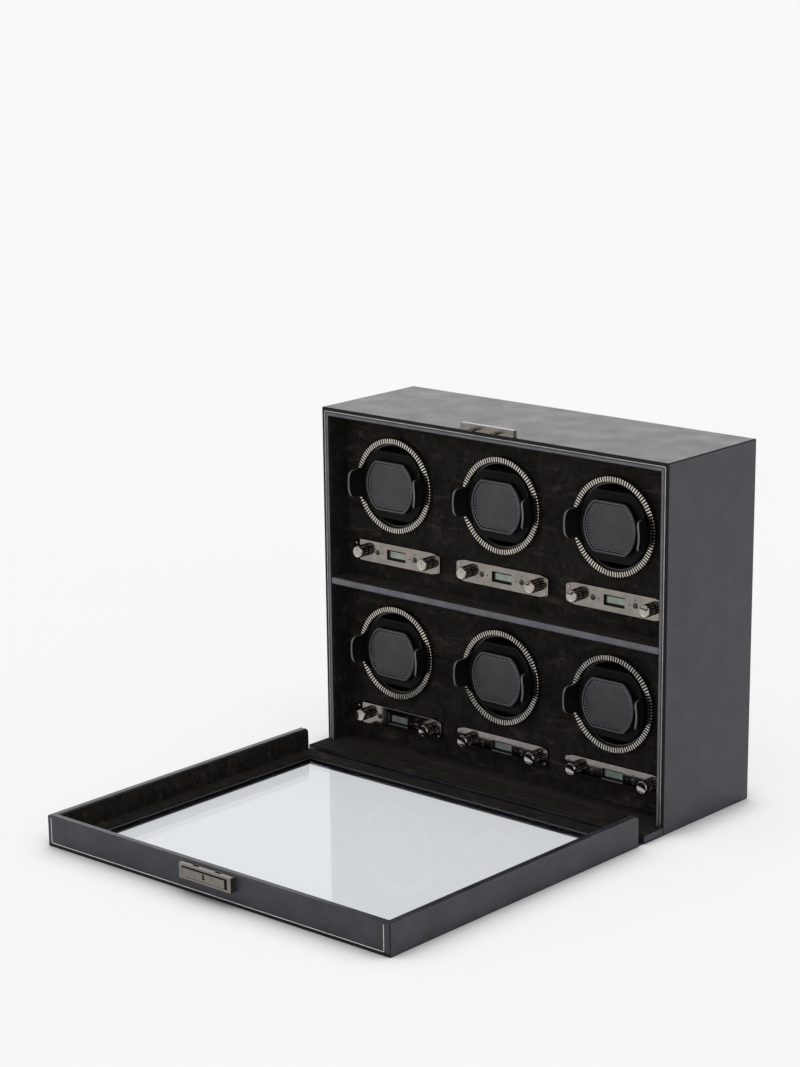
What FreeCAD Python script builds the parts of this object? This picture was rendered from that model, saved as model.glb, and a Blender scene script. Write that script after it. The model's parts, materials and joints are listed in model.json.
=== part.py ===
import FreeCAD, Part
import os
import re

import Sketcher

# Driving dimensions, in millimetres. Heights are from the table, depths run along +Y from front to back,
# and the origin is the centre of the cabinet's underside. "Set back" is measured from the front rim.
SIZES = {
    # Carcase
    "cabinet_width": 430, "cabinet_height": 359, "cabinet_depth": 140, "wall_thick": 8.5,
    "felt_thick": 1.2, "board_thick": 6.8, "lining_thick": 1, "lip_reach": 29.7,
    "shelf_thick": 6.5, "shelf_reach": 50, "cover_thick": 6, "lining_inset": 1.2,
    # Modules: two rows of three
    "panel_set_back": 25.5, "panel_thick": 6, "module_pitch": 137.5, "row_pitch": 174,
    "lower_row": 110.4, "ring_proud": 6.2, "ring_outer": 48.5, "ring_inner": 42.9,
    "ring_spigot": 45.9, "ring_hole": 46, "ring_bevel": 0.5,
    "housing_inner": 45, "housing_outer": 47.5, "housing_depth": 50.5, "housing_floor": 3,
    "housing_bore": 8,
    "drum_outer": 42.4, "drum_wall": 1.5, "drum_front": 23, "drum_length": 46, "drum_floor": 3,
    "hub_radius": 7, "hub_length": 9.5, "shaft_radius": 2.5, "shaft_length": 24, "bore_radius": 2.55,
    "socket_outer": 20, "socket_inner": 14.6, "socket_length": 18,
    "gearbox_side": 36, "gearbox_depth": 21, "motor_radius": 12, "motor_length": 24,
    # Cuffs
    "cuff_radius": 40.4, "cuff_height": 69, "cuff_front": 19, "cuff_depth": 25, "post_side": 14,
    "post_length": 18, "pad_radius": 31.2, "pad_height": 51, "pad_thick": 6,
    "ear_tip": 1.1, "ear_root": 24, "ear_height": 28, "ear_thick": 2.1, "ear_flare": 4.4,
    "neck_front": 17, "neck_height": 42,
    # Control plates
    "control_drop": 73, "plate_width": 115.5, "plate_height": 22, "plate_thick": 3,
    "plate_end_height": 17, "plate_taper": 10, "plate_corner": 2.4,
    "window_width": 24.8, "window_height": 10.3, "slot_width": 100, "slot_height": 18,
    "knob_offset": 43, "button_offset": 25, "knob_hole": 3.08, "button_hole": 2.65,
    "knob_radius": 6.4, "knob_cap": 5.9, "cap_height": 2, "cap_bevel": 0.5, "knob_length": 10.5,
    "knob_gap": 0.5, "stem_radius": 3, "stem_length": 6, "button_radius": 2.6, "button_proud": 1.1,
    "button_bevel": 0.3, "button_collar": 3.3, "collar_thick": 0.8,
    "display_width": 30, "display_height": 13.5, "display_thick": 2.4, "seat_gap": 0.1,
    "circuit_thick": 1.6, "circuit_width": 96, "circuit_height": 16,
    "circuit_behind": 3.4, "encoder_side": 11, "switch_side": 6, "switch_thick": 1.3,
    "screw_head": 1.5, "screw_proud": 0.7, "screw_radius": 0.9, "screw_length": 6,
    "screw_offset_across": 54, "screw_offset_up": 6.2,
    # Power inlet in the rear cover
    "inlet_height": 30, "inlet_radius": 5.5, "inlet_flange": 7, "inlet_bore": 2.8,
    "inlet_length": 12, "inlet_proud": 1,
    # Lid, lying open on the table
    "lid_gap": 8.2, "lid_length": 349.6, "lid_depth": 30.8, "lid_wall": 8, "rail_thick": 8,
    "rail_width": 18, "glass_thick": 3, "glass_bottom": 2.5, "glass_bite": 5, "glass_play": 0.3,
    "lid_corner": 5, "fold_gap": 0.3,
    # Lock on the lid, catch on the cabinet
    "lock_width": 65, "lock_reach": 6.5, "lock_height": 14.5, "lock_bottom": 14.5, "lock_skin": 1.2,
    "slide_travel": 3, "slide_gap": 0.3, "slide_thick": 2.2, "window_left": 28.5, "window_right": 28,
    "window_rim": 2.2, "slide_top_gap": 1.6, "flange_rim": 1, "flange_thick": 1,
    "cylinder_radius": 2.6, "cylinder_bore": 2.65, "cylinder_length": 5.4, "key_offset": 1.8,
    "key_slit": 0.8, "key_height": 3.4, "key_depth": 4,
    "catch_width": 66, "catch_depth": 5.5, "catch_height": 7, "hook_offset": 14, "hook_width": 6,
    "hook_length": 8, "hook_thick": 2, "hook_lift": 1.6, "hook_notch": 3.2, "notch_start": 4,
    "notch_length": 2.6, "hook_play": 0.6, "tongue_width": 4, "tongue_play": 0.4,
}

# Expressions that several sub-parts share
RIM = "(-cabinet_depth / 2)"
BACK = "(cabinet_depth / 2)"
PANEL = "(-cabinet_depth / 2 + panel_set_back)"
HALF = "(cabinet_width / 2)"
INNER = "(cabinet_width / 2 - wall_thick)"
CEILING = "(cabinet_height - wall_thick)"
BOARD_TOP = "(felt_thick + board_thick)"
SHELF_TOP = "((cabinet_height - wall_thick + felt_thick + board_thick + lining_thick + shelf_thick) / 2)"
LIP = f"({RIM} - lip_reach)"
FOLD = f"({RIM} - lip_reach - fold_gap)"
LID_REAR = f"({FOLD} - lid_gap)"
LID_END = f"({LID_REAR} - lid_length)"
PLATE = f"({PANEL} - plate_thick)"
HOUSING_BACK = f"({PANEL} + panel_thick + housing_depth)"
DRUM = f"({RIM} + drum_front)"
CUFF = f"({RIM} + cuff_front)"
LOCK_FRONT = f"({LID_END} - lock_reach)"
LOCK_TOP = "(lock_bottom + lock_height)"
LOCK_MIDDLE = "(lock_bottom + lock_height / 2)"
HOOK_FRONT = f"({LID_END} - hook_lift - hook_thick)"
SLIDE_BACK = f"({LOCK_FRONT} + lock_skin + seat_gap + flange_thick)"

ROWS = {"upper": "(lower_row + row_pitch)", "lower": "lower_row"}
COLUMNS = {"left": "(-module_pitch)", "middle": "0", "right": "module_pitch"}

doc = FreeCAD.newDocument("watch_winder_box")


def make_sheet():
    """Put every driving dimension in its own named cell."""
    sheet = doc.addObject("Spreadsheet::Sheet", "Sizes")
    for row, (alias, size) in enumerate(SIZES.items(), 1):
        sheet.set(f"A{row}", alias)
        sheet.set(f"B{row}", str(size))
        sheet.setAlias(f"B{row}", alias)
    doc.recompute()


def bind(thing, prop, text):
    """Bind a property to an expression that names cells of the sheet by their aliases."""
    thing.setExpression(prop, re.sub(
        r"[a-z_]+", lambda word: f"Sizes.{word[0]}" if word[0] in SIZES else word[0], text))


def place(thing, x="0", y="0", z="0"):
    """Bind where a sub-part stands."""
    for axis, text in zip("xyz", (x, y, z)):
        bind(thing, f"Placement.Base.{axis}", text)
    return thing


def box(name, low, high):
    """A block between two corners."""
    block = doc.addObject("Part::Box", name)
    for side, start, end in zip(("Length", "Width", "Height"), low, high):
        bind(block, side, f"({end}) - ({start})")
    return place(block, *low)


def rod(name, radius, x, y, z, length):
    """A cylinder along +Y whose front face is centred on x, y, z."""
    cylinder = doc.addObject("Part::Cylinder", name)
    cylinder.Placement = FreeCAD.Placement(FreeCAD.Vector(), FreeCAD.Rotation(FreeCAD.Vector(1, 0, 0), -90))
    bind(cylinder, "Radius", radius)
    bind(cylinder, "Height", length)
    return place(cylinder, x, y, z)


def cone(name, front_radius, back_radius, x, y, z, length):
    """A cone along +Y whose front face is centred on x, y, z."""
    taper = doc.addObject("Part::Cone", name)
    taper.Placement = FreeCAD.Placement(FreeCAD.Vector(), FreeCAD.Rotation(FreeCAD.Vector(1, 0, 0), -90))
    bind(taper, "Radius1", front_radius)
    bind(taper, "Radius2", back_radius)
    bind(taper, "Height", length)
    return place(taper, x, y, z)


def joined(name, pieces):
    """One solid from pieces that touch or overlap."""
    union = doc.addObject("Part::MultiFuse", name)
    union.Shapes = pieces
    return union


def cut(name, base, tools):
    """A base with every tool taken away."""
    result = doc.addObject("Part::Cut", name)
    result.Base = base
    result.Tool = tools[0] if len(tools) == 1 else joined(f"{name}_tools", tools)
    return result


def common(name, first, second):
    """What two shapes share."""
    result = doc.addObject("Part::Common", name)
    result.Base = first
    result.Tool = second
    return result


def group(name, solids):
    """Several separate solids in one sub-part."""
    bundle = doc.addObject("Part::Compound", name)
    bundle.Links = solids
    return bundle


def outline(body, role, points, height="0"):
    """A closed polygon on one of a body's own origin planes, each corner bound to expressions."""
    sketch = body.newObject("Sketcher::SketchObject", f"{body.Name}_outline")
    plane = next(feature for feature in body.Origin.OriginFeatures if feature.Role == role)
    sketch.AttachmentSupport = (plane, "")
    sketch.MapMode = "FlatFace"
    bind(sketch, "AttachmentOffset.Base.z", height)
    spots = [FreeCAD.Vector(10, 0, 0) for _ in points]
    for index, spot in enumerate(spots):
        turn = FreeCAD.Rotation(FreeCAD.Vector(0, 0, 1), 360 * index / len(spots))
        spots[index] = turn.multVec(spot)
    for index, spot in enumerate(spots):
        sketch.addGeometry(Part.LineSegment(spot, spots[(index + 1) % len(spots)]))
    for index in range(len(spots)):
        sketch.addConstraint(Sketcher.Constraint("Coincident", index, 2, (index + 1) % len(spots), 1))
    for index, corner in enumerate(points):
        pin_corner(sketch, index, corner, spots[index])
    return sketch


def pin_corner(sketch, index, corner, spot):
    """Hold one corner of an outline at its two expressions, or on an axis where one of them is 0."""
    for direction, axis, text, start in (("DistanceX", -2, corner[0], spot.x),
                                         ("DistanceY", -1, corner[1], spot.y)):
        if text == "0":
            sketch.addConstraint(Sketcher.Constraint("PointOnObject", index, 1, axis))
        else:
            row = sketch.addConstraint(Sketcher.Constraint(direction, -1, 1, index, 1, start))
            bind(sketch, f"Constraints[{row}]", text)


def rectangle(left, right, front, back):
    """The corners of an upright rectangle."""
    return [(left, front), (right, front), (right, back), (left, back)]


def new_body(name):
    return doc.addObject("PartDesign::Body", name)


def pad(body, sketch, length):
    feature = body.newObject("PartDesign::Pad", f"{body.Name}_pad")
    feature.Profile = sketch
    bind(feature, "Length", length)
    sketch.Visibility = False
    doc.recompute()
    return feature


def pocket(body, sketch, depth):
    """Cut down from a sketch, and make sure that it took material away."""
    before = body.Shape.Volume
    feature = body.newObject("PartDesign::Pocket", f"{body.Name}_pocket")
    feature.Profile = sketch
    bind(feature, "Length", depth)
    doc.recompute()
    assert body.Shape.Volume < before, f"{feature.Name} cuts nothing"
    return feature


def turned(name, profile):
    """A body turned about its own Y axis from corners given as radius and depth."""
    body = new_body(name)
    sketch = outline(body, "XY_Plane", profile)
    feature = body.newObject("PartDesign::Revolution", f"{name}_turning")
    feature.Profile = sketch
    feature.ReferenceAxis = (sketch, ["V_Axis"])
    feature.Angle = 360
    return body


def fillet(body, base, radius, chosen):
    """Round the edges of a feature that a test of each edge picks."""
    names = [f"Edge{number}" for number, edge in enumerate(base.Shape.Edges, 1) if chosen(edge)]
    feature = body.newObject("PartDesign::Fillet", f"{body.Name}_fillet")
    feature.Base = (base, names)
    bind(feature, "Radius", radius)
    return feature


def runs_along(edge, axis):
    """Whether an edge is straight and parallel to an axis."""
    if not isinstance(edge.Curve, Part.Line):
        return False
    return abs(abs(edge.Curve.Direction.dot(axis)) - 1) < 1e-6


def modules():
    """Each winding module's name and the expressions of its axis."""
    for row, height in ROWS.items():
        for column, across in COLUMNS.items():
            yield f"{row}_{column}", across, height


def make_carcase():
    """Top and sides of the cabinet, open in front, behind and below."""
    body = new_body("carcase")
    sketch = outline(body, "XZ_Plane", [
        (f"-{HALF}", "0"), (f"-{INNER}", "0"), (f"-{INNER}", CEILING), (INNER, CEILING),
        (INNER, "0"), (HALF, "0"), (HALF, "cabinet_height"), (f"-{HALF}", "cabinet_height")])
    pad(body, sketch, "cabinet_depth")
    return place(body, y=BACK)


def lipped_board(name, bottom, top, back):
    """A board between the sides whose full-width lip stands in front of the rim."""
    inside = box(f"{name}_inside", (f"-{INNER}", RIM, bottom), (INNER, back, top))
    lip = box(f"{name}_lip", (f"-{HALF}", LIP, bottom), (HALF, RIM, top))
    return joined(name, [inside, lip])


def make_base():
    """Felt underside and base board."""
    lipped_board("base_felt", "0", "felt_thick", BACK)
    lipped_board("base_board", "felt_thick", BOARD_TOP, BACK)


def make_shelf():
    """The board between the two bays."""
    box("divider_shelf", (f"-{INNER}", RIM, f"{SHELF_TOP} - shelf_thick"),
        (INNER, f"{RIM} + shelf_reach", SHELF_TOP))


def make_cover():
    """Rear cover, set in between the sides, with the power inlet's hole."""
    board = box("cover_board", (f"-{INNER}", f"{BACK} - cover_thick", BOARD_TOP), (INNER, BACK, CEILING))
    inlet = rod("cover_inlet_hole", "inlet_radius", "0", f"{BACK} - cover_thick", "inlet_height",
                "cover_thick")
    cut("rear_cover", board, [inlet])


def sleeve(name, bottom, top, with_floor):
    """Lining of a bay's side walls and ceiling, and of its floor where asked."""
    front = f"{RIM} + lining_inset"
    outer = box(f"{name}_outer", (f"-{INNER}", front, bottom), (INNER, PANEL, top))
    floor = f"{bottom} + lining_thick" if with_floor else bottom
    inner = box(f"{name}_inner", (f"-{INNER} + lining_thick", front, floor),
                (f"{INNER} - lining_thick", PANEL, f"{top} - lining_thick"))
    return cut(name, outer, [inner])


def make_linings():
    """Suede on the bays' inside faces and over the base board and its lip."""
    upper = sleeve("upper_sleeve", SHELF_TOP, CEILING, True)
    lower = sleeve("lower_sleeve", f"({BOARD_TOP} + lining_thick)", f"({SHELF_TOP} - shelf_thick)", False)
    floor = lipped_board("floor_lining", BOARD_TOP, f"{BOARD_TOP} + lining_thick", PANEL)
    group("bay_linings", [upper, lower, floor])


def module_panel(row, bottom, top):
    """The board that carries a row of three modules."""
    board = box(f"{row}_panel_board", (f"-{INNER}", PANEL, bottom), (INNER, f"{PANEL} + panel_thick", top))
    tools = []
    for column, across in COLUMNS.items():
        name = f"{row}_{column}_panel"
        drop = f"{ROWS[row]} - control_drop"
        tools.append(rod(f"{name}_hole", "ring_hole", across, PANEL, ROWS[row], "panel_thick"))
        tools.append(box(f"{name}_slot",
                         (f"{across} - slot_width / 2", PANEL, f"{drop} - slot_height / 2"),
                         (f"{across} + slot_width / 2", f"{PANEL} + panel_thick",
                          f"{drop} + slot_height / 2")))
    return cut(f"{row}_panel", board, tools)


def make_panels():
    group("module_panels", [module_panel("upper", SHELF_TOP, CEILING),
                            module_panel("lower", BOARD_TOP, f"({SHELF_TOP} - shelf_thick)")])


def make_rings():
    """Metal rings round the drums, each with a spigot through the panel."""
    front = f"({PANEL} - ring_proud)"
    rings = []
    for name, across, height in modules():
        ring = turned(f"ring_{name}", [
            ("ring_inner", f"{front} + ring_bevel"), ("ring_inner + ring_bevel", front),
            ("ring_outer - ring_bevel", front), ("ring_outer", f"{front} + ring_bevel"),
            ("ring_outer", PANEL), ("ring_spigot", PANEL), ("ring_spigot", f"{PANEL} + panel_thick"),
            ("ring_inner", f"{PANEL} + panel_thick")])
        rings.append(place(ring, x=across, z=height))
    group("bezel_rings", rings)


def make_housings():
    """Fixed cups behind the panel in which the drums turn."""
    cups = []
    front = f"({PANEL} + panel_thick)"
    for name, across, height in modules():
        cup = turned(f"housing_{name}", [
            ("housing_inner", front), ("housing_outer", front), ("housing_outer", HOUSING_BACK),
            ("housing_bore", HOUSING_BACK), ("housing_bore", f"{HOUSING_BACK} - housing_floor"),
            ("housing_inner", f"{HOUSING_BACK} - housing_floor")])
        cups.append(place(cup, x=across, z=height))
    group("module_housings", cups)


def make_motors():
    """Geared motors on the housings' backs, each bored for its output shaft."""
    motors = []
    for name, across, height in modules():
        gearbox = box(f"gearbox_{name}",
                      (f"{across} - gearbox_side / 2", HOUSING_BACK, f"{height} - gearbox_side / 2"),
                      (f"{across} + gearbox_side / 2", f"{HOUSING_BACK} + gearbox_depth",
                       f"{height} + gearbox_side / 2"))
        can = rod(f"motor_can_{name}", "motor_radius", across, f"{HOUSING_BACK} + gearbox_depth", height,
                  "motor_length")
        bore = rod(f"motor_bore_{name}", "bore_radius", across, HOUSING_BACK, height,
                   "gearbox_depth - lining_thick")
        motors.append(cut(f"motor_{name}", joined(f"motor_body_{name}", [gearbox, can]), [bore]))
    group("gear_motors", motors)


def make_rotors():
    """Turning drums, each with a square socket for the cuff's post, a hub and a steel shaft."""
    floor_front = f"({DRUM} + drum_length - drum_floor)"
    floor_back = f"({DRUM} + drum_length)"
    inner = "(drum_outer - drum_wall)"
    for name, across, height in modules():
        drum = place(turned(f"drum_{name}", [
            (inner, DRUM), ("drum_outer", DRUM), ("drum_outer", floor_back), ("hub_radius", floor_back),
            ("hub_radius", f"{floor_back} + hub_length"), ("shaft_radius", f"{floor_back} + hub_length"),
            ("shaft_radius", floor_front), (inner, floor_front)]), x=across, z=height)
        socket = square_tube(f"socket_{name}", across, height, f"{floor_front} - socket_length",
                             floor_front)
        shaft = rod(f"shaft_{name}", "shaft_radius", across, floor_front, height,
                    "drum_floor + shaft_length")
        group(f"rotor_{name}", [joined(f"drum_and_socket_{name}", [drum, socket]), shaft])


def square_tube(name, across, height, front, back):
    """The socket tube on a drum's floor."""
    outer = square_bar(f"{name}_outer", "socket_outer", across, height, front, back)
    inner = square_bar(f"{name}_inner", "socket_inner", across, height, front, back)
    return cut(name, outer, [inner])


def square_bar(name, side, across, height, front, back):
    """A bar along Y with a square section."""
    return box(name, (f"{across} - {side} / 2", front, f"{height} - {side} / 2"),
               (f"{across} + {side} / 2", back, f"{height} + {side} / 2"))


def flat_disc(name, radius, tall, across, height, front, length):
    """A disc along Y with a flat cut across its top and bottom."""
    disc = rod(f"{name}_disc", radius, across, front, height, length)
    band = box(f"{name}_band", (f"{across} - {radius}", front, f"{height} - {tall} / 2"),
               (f"{across} + {radius}", f"{front} + {length}", f"{height} + {tall} / 2"))
    return common(name, disc, band)


def cuff_ears(name, across, height, front, tall):
    """A pair of flared grips, left and right, cut from a cone-shaped shell."""
    back = f"({RIM} + ear_root)"
    flare = f"(ear_flare * ({back} - {front}) / (ear_root - ear_tip))"
    length = f"{back} - {front}"
    outer = cone(f"{name}_outer", f"cuff_radius + {flare}", "cuff_radius", across, front, height, length)
    inner = cone(f"{name}_inner", f"cuff_radius - ear_thick + {flare}", "cuff_radius - ear_thick",
                 across, front, height, length)
    band = box(f"{name}_band", (f"{across} - cuff_radius - ear_flare", front, f"{height} - {tall} / 2"),
               (f"{across} + cuff_radius + ear_flare", back, f"{height} + {tall} / 2"))
    return common(name, cut(f"{name}_shell", outer, [inner]), band)


def make_cuffs():
    """Removable watch cuffs: body with grips and post, and the leather pad on its front."""
    for name, across, height in modules():
        body = flat_disc(f"cuff_body_{name}", "cuff_radius", "cuff_height", across, height, CUFF,
                         "cuff_depth")
        grips = cuff_ears(f"cuff_grips_{name}", across, height, f"({RIM} + ear_tip)", "ear_height")
        necks = cuff_ears(f"cuff_necks_{name}", across, height, f"({RIM} + neck_front)", "neck_height")
        post = square_bar(f"cuff_post_{name}", "post_side", across, height, f"{CUFF} + cuff_depth",
                          f"{CUFF} + cuff_depth + post_length")
        pad_front = flat_disc(f"cuff_pad_{name}", "pad_radius", "pad_height", across, height,
                              f"({CUFF} - pad_thick)", "pad_thick")
        frame = joined(f"cuff_frame_{name}", [body, grips, necks, post])
        group(f"cuff_{name}", [frame, pad_front])


def control_plate(name, across, height):
    """A metal plate with tapered ends, a display window and holes for two knobs and two buttons."""
    half = "plate_width / 2"
    shoulder = "(plate_width / 2 - plate_taper)"
    end = "plate_end_height / 2"
    tall = "plate_height / 2"
    body = new_body(f"plate_{name}")
    sketch = outline(body, "XZ_Plane", [
        (f"-{half}", f"-{end}"), (f"-{shoulder}", f"-{tall}"), (shoulder, f"-{tall}"), (half, f"-{end}"),
        (half, end), (shoulder, tall), (f"-{shoulder}", tall), (f"-{half}", end)])
    slab = pad(body, sketch, "plate_thick")
    depth_axis = FreeCAD.Vector(0, 1, 0)
    fillet(body, slab, "plate_corner", lambda edge: runs_along(edge, depth_axis))
    place(body, across, PANEL, height)
    window = box(f"plate_window_{name}",
                 (f"{across} - window_width / 2", PLATE, f"{height} - window_height / 2"),
                 (f"{across} + window_width / 2", PANEL, f"{height} + window_height / 2"))
    holes = [rod(f"plate_{kind}_hole_{side}_{name}", f"{kind}_hole", f"{across} {sign} {kind}_offset",
                 PLATE, height, "plate_thick")
             for kind in ("knob", "button") for side, sign in (("left", "-"), ("right", "+"))]
    screws = [rod(f"plate_screw_hole_{number}_{name}", "screw_radius", x, PLATE, z, "plate_thick")
              for number, (x, z) in enumerate(plate_screw_spots(across, height), 1)]
    return cut(f"control_plate_{name}", body, [window] + holes + screws)


def plate_screw_spots(across, height):
    """The four corners of a control plate."""
    for sign_across in "-+":
        for sign_up in "-+":
            yield (f"{across} {sign_across} screw_offset_across",
                   f"{height} {sign_up} screw_offset_up")


def control_places():
    """Each control plate's name and the expressions of its centre."""
    for name, across, height in modules():
        yield name, across, f"({height} - control_drop)"


def make_controls():
    """Control plates, displays and circuit boards with their encoders and switches."""
    plates, displays, boards = [], [], []
    for name, across, height in control_places():
        plates.append(control_plate(name, across, height))
        displays.append(box(
            f"display_{name}",
            (f"{across} - display_width / 2", f"{PANEL} + seat_gap", f"{height} - display_height / 2"),
            (f"{across} + display_width / 2", f"{PANEL} + seat_gap + display_thick",
             f"{height} + display_height / 2")))
        boards.append(circuit_board(name, across, height))
    group("control_plates", plates)
    group("displays", displays)
    group("control_boards", boards)


def circuit_board(name, across, height):
    """A circuit board with two knob encoders, bored for the knobs' stems, and two button switches."""
    front = f"({PANEL} + circuit_behind)"
    board = box(f"circuit_{name}",
                (f"{across} - circuit_width / 2", front, f"{height} - circuit_height / 2"),
                (f"{across} + circuit_width / 2", f"{front} + circuit_thick",
                 f"{height} + circuit_height / 2"))
    pieces, bores = [board], []
    for side, sign in (("left", "-"), ("right", "+")):
        knob = f"({across} {sign} knob_offset)"
        button = f"({across} {sign} button_offset)"
        pieces.append(square_bar(f"encoder_{side}_{name}", "encoder_side", knob, height,
                                 f"{PANEL} + seat_gap", front))
        pieces.append(square_bar(f"switch_{side}_{name}", "switch_side", button, height,
                                 f"{front} - switch_thick", front))
        bores.append(rod(f"encoder_bore_{side}_{name}", "knob_hole", knob, PANEL, height,
                         "circuit_behind"))
    return cut(f"control_board_{name}", joined(f"circuit_pieces_{name}", pieces), bores)


def make_knobs():
    """Turning knobs: a grip, a metal cap and a stem, left for the turns and right for the direction."""
    grip_back = f"({PLATE} - knob_gap)"
    grip_front = f"({PLATE} - knob_gap - knob_length + cap_height)"
    face = f"({PLATE} - knob_gap - knob_length)"
    profile = [
        ("0", face), ("knob_cap - cap_bevel", face), ("knob_cap", f"{face} + cap_bevel"),
        ("knob_cap", grip_front), ("knob_radius", grip_front), ("knob_radius", grip_back),
        ("stem_radius", grip_back), ("stem_radius", f"{grip_back} + stem_length"),
        ("0", f"{grip_back} + stem_length")]
    for name, across, height in control_places():
        for kind, sign in (("turns", "-"), ("direction", "+")):
            knob = turned(f"{kind}_knob_{name}", profile)
            place(knob, x=f"{across} {sign} knob_offset", z=height)


def make_buttons():
    """Push buttons with a collar that keeps them behind the plate."""
    face = f"({PLATE} - button_proud)"
    collar = f"({PANEL} + seat_gap)"
    profile = [
        ("0", face), ("button_radius - button_bevel", face), ("button_radius", f"{face} + button_bevel"),
        ("button_radius", collar), ("button_collar", collar), ("button_collar", f"{collar} + collar_thick"),
        ("0", f"{collar} + collar_thick")]
    for name, across, height in control_places():
        for kind, sign in (("set", "-"), ("mode", "+")):
            button = turned(f"{kind}_button_{name}", profile)
            place(button, x=f"{across} {sign} button_offset", z=height)


def make_screws():
    """The small screws that hold the control plates, as one group."""
    screws = []
    for name, across, height in control_places():
        for number, (x, z) in enumerate(plate_screw_spots(across, height), 1):
            label = f"screw_{number}_{name}"
            head = rod(f"{label}_head", "screw_head", x, f"{PLATE} - screw_proud", z, "screw_proud")
            shank = rod(f"{label}_shank", "screw_radius", x, PLATE, z, "screw_length")
            screws.append(joined(label, [head, shank]))
    group("plate_screws", screws)


def make_inlet():
    """Power inlet: a flanged barrel through the rear cover."""
    back = f"({BACK} + inlet_proud)"
    inlet = turned("power_inlet", [
        ("inlet_bore", back), ("inlet_flange", back), ("inlet_flange", BACK), ("inlet_radius", BACK),
        ("inlet_radius", f"{back} - inlet_length"), ("0", f"{back} - inlet_length"),
        ("0", f"{back} - inlet_length + lining_thick"),
        ("inlet_bore", f"{back} - inlet_length + lining_thick")])
    place(inlet, z="inlet_height")


def make_lid_frame():
    """Glazed drop-down lid: two side walls, an end wall and four rails, with a seat for the glass."""
    inner = f"({HALF} - lid_wall)"
    opening = f"({inner} - rail_width)"
    body = new_body("lid_frame")
    pad(body, outline(body, "XY_Plane", rectangle(f"-{HALF}", HALF, LID_END, LID_REAR)), "lid_depth")
    tray = rectangle(f"-{inner}", inner, f"{LID_END} + lid_wall", LID_REAR)
    pocket(body, outline(body, "XY_Plane", tray, "lid_depth"), "lid_depth - rail_thick")
    front = f"({LID_END} + lid_wall + rail_width)"
    back = f"({LID_REAR} - rail_width)"
    seat = rectangle(f"-{opening} - glass_bite", f"{opening} + glass_bite", f"{front} - glass_bite",
                     f"{back} + glass_bite")
    pocket(body, outline(body, "XY_Plane", seat, "rail_thick"), "rail_thick - glass_bottom")
    window = rectangle(f"-{opening}", opening, front, back)
    last = pocket(body, outline(body, "XY_Plane", window, "glass_bottom"), "glass_bottom")
    across = FreeCAD.Vector(1, 0, 0)
    blank = body.Shape.BoundBox
    fillet(body, last, "lid_corner", lambda edge: runs_along(edge, across)
           and edge.BoundBox.ZMin > blank.ZMax - 1 and edge.BoundBox.YMin > blank.YMax - 1)


def make_glazing():
    """Glass pane in its seat, and the leather-covered bead that holds it."""
    opening = f"({HALF} - lid_wall - rail_width)"
    front = f"({LID_END} + lid_wall + rail_width)"
    back = f"({LID_REAR} - rail_width)"
    bite = "(glass_bite - glass_play)"
    top = "(glass_bottom + glass_thick)"
    box("lid_glass", (f"-{opening} - {bite}", f"{front} - {bite}", "glass_bottom"),
        (f"{opening} + {bite}", f"{back} + {bite}", top))
    bead = box("bead_blank", (f"-{opening} - {bite}", f"{front} - {bite}", top),
               (f"{opening} + {bite}", f"{back} + {bite}", "rail_thick"))
    hole = box("bead_hole", (f"-{opening}", front, top), (opening, back, "rail_thick"))
    cut("glass_bead", bead, [hole])


def make_lid_lining():
    """Suede on the lid's rails and on the inside of its walls."""
    inner = f"({HALF} - lid_wall)"
    opening = f"({inner} - rail_width)"
    blank = box("lid_lining_blank", (f"-{inner}", f"{LID_END} + lid_wall", "rail_thick"),
                (inner, f"{LID_REAR} - lining_inset", "lid_depth - lining_inset"))
    hollow = box("lid_lining_hollow",
                 (f"-{inner} + lining_thick", f"{LID_END} + lid_wall + lining_thick",
                  "rail_thick + lining_thick"),
                 (f"{inner} - lining_thick", f"{LID_REAR} - lining_inset", "lid_depth - lining_inset"))
    hole = box("lid_lining_hole", (f"-{opening}", f"{LID_END} + lid_wall + rail_width", "rail_thick"),
               (opening, f"{LID_REAR} - rail_width", "rail_thick + lining_thick"))
    corner = box("lid_lining_corner",
                 (f"-{inner}", f"{LID_REAR} - lid_corner - lining_inset", "lid_depth - lid_corner"),
                 (inner, f"{LID_REAR} - lining_inset", "lid_depth - lining_inset"))
    cut("lid_lining", blank, [hollow, hole, corner])


def make_hinge():
    """Leather strip that folds along the lip's lower front edge."""
    box("hinge_strip", (f"-{HALF} + lining_thick", LID_REAR, "0"),
        (f"{HALF} - lining_thick", FOLD, "felt_thick"))


def make_lock_case():
    """Metal case on the lid's end wall, with a window for its slide and a slot for each hook."""
    half = "lock_width / 2"
    outer = box("lock_block", (f"-{half}", LOCK_FRONT, "lock_bottom"), (half, LID_END, LOCK_TOP))
    cavity = box("lock_cavity", (f"-{half} + lock_skin", f"{LOCK_FRONT} + lock_skin",
                                 "lock_bottom + lock_skin"),
                 (f"{half} - lock_skin", LID_END, f"{LOCK_TOP} - lock_skin"))
    window = box("lock_window", ("-window_left", LOCK_FRONT, "lock_bottom + window_rim"),
                 ("window_right", f"{LOCK_FRONT} + lock_skin", f"{LOCK_TOP} - window_rim"))
    slots = [box(f"lock_slot_{side}",
                 (f"{spot} - hook_width / 2 - hook_play", f"{HOOK_FRONT} - hook_play",
                  f"{LOCK_TOP} - lock_skin"),
                 (f"{spot} + hook_width / 2 + hook_play", f"{HOOK_FRONT} + hook_thick + hook_play",
                  LOCK_TOP))
             for side, spot in hook_spots()]
    cut("lock_case", outer, [cavity, window] + slots)


def hook_spots():
    """The two hooks' names and places across the lock."""
    return (("left", "(-hook_offset)"), ("right", "hook_offset"))


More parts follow.
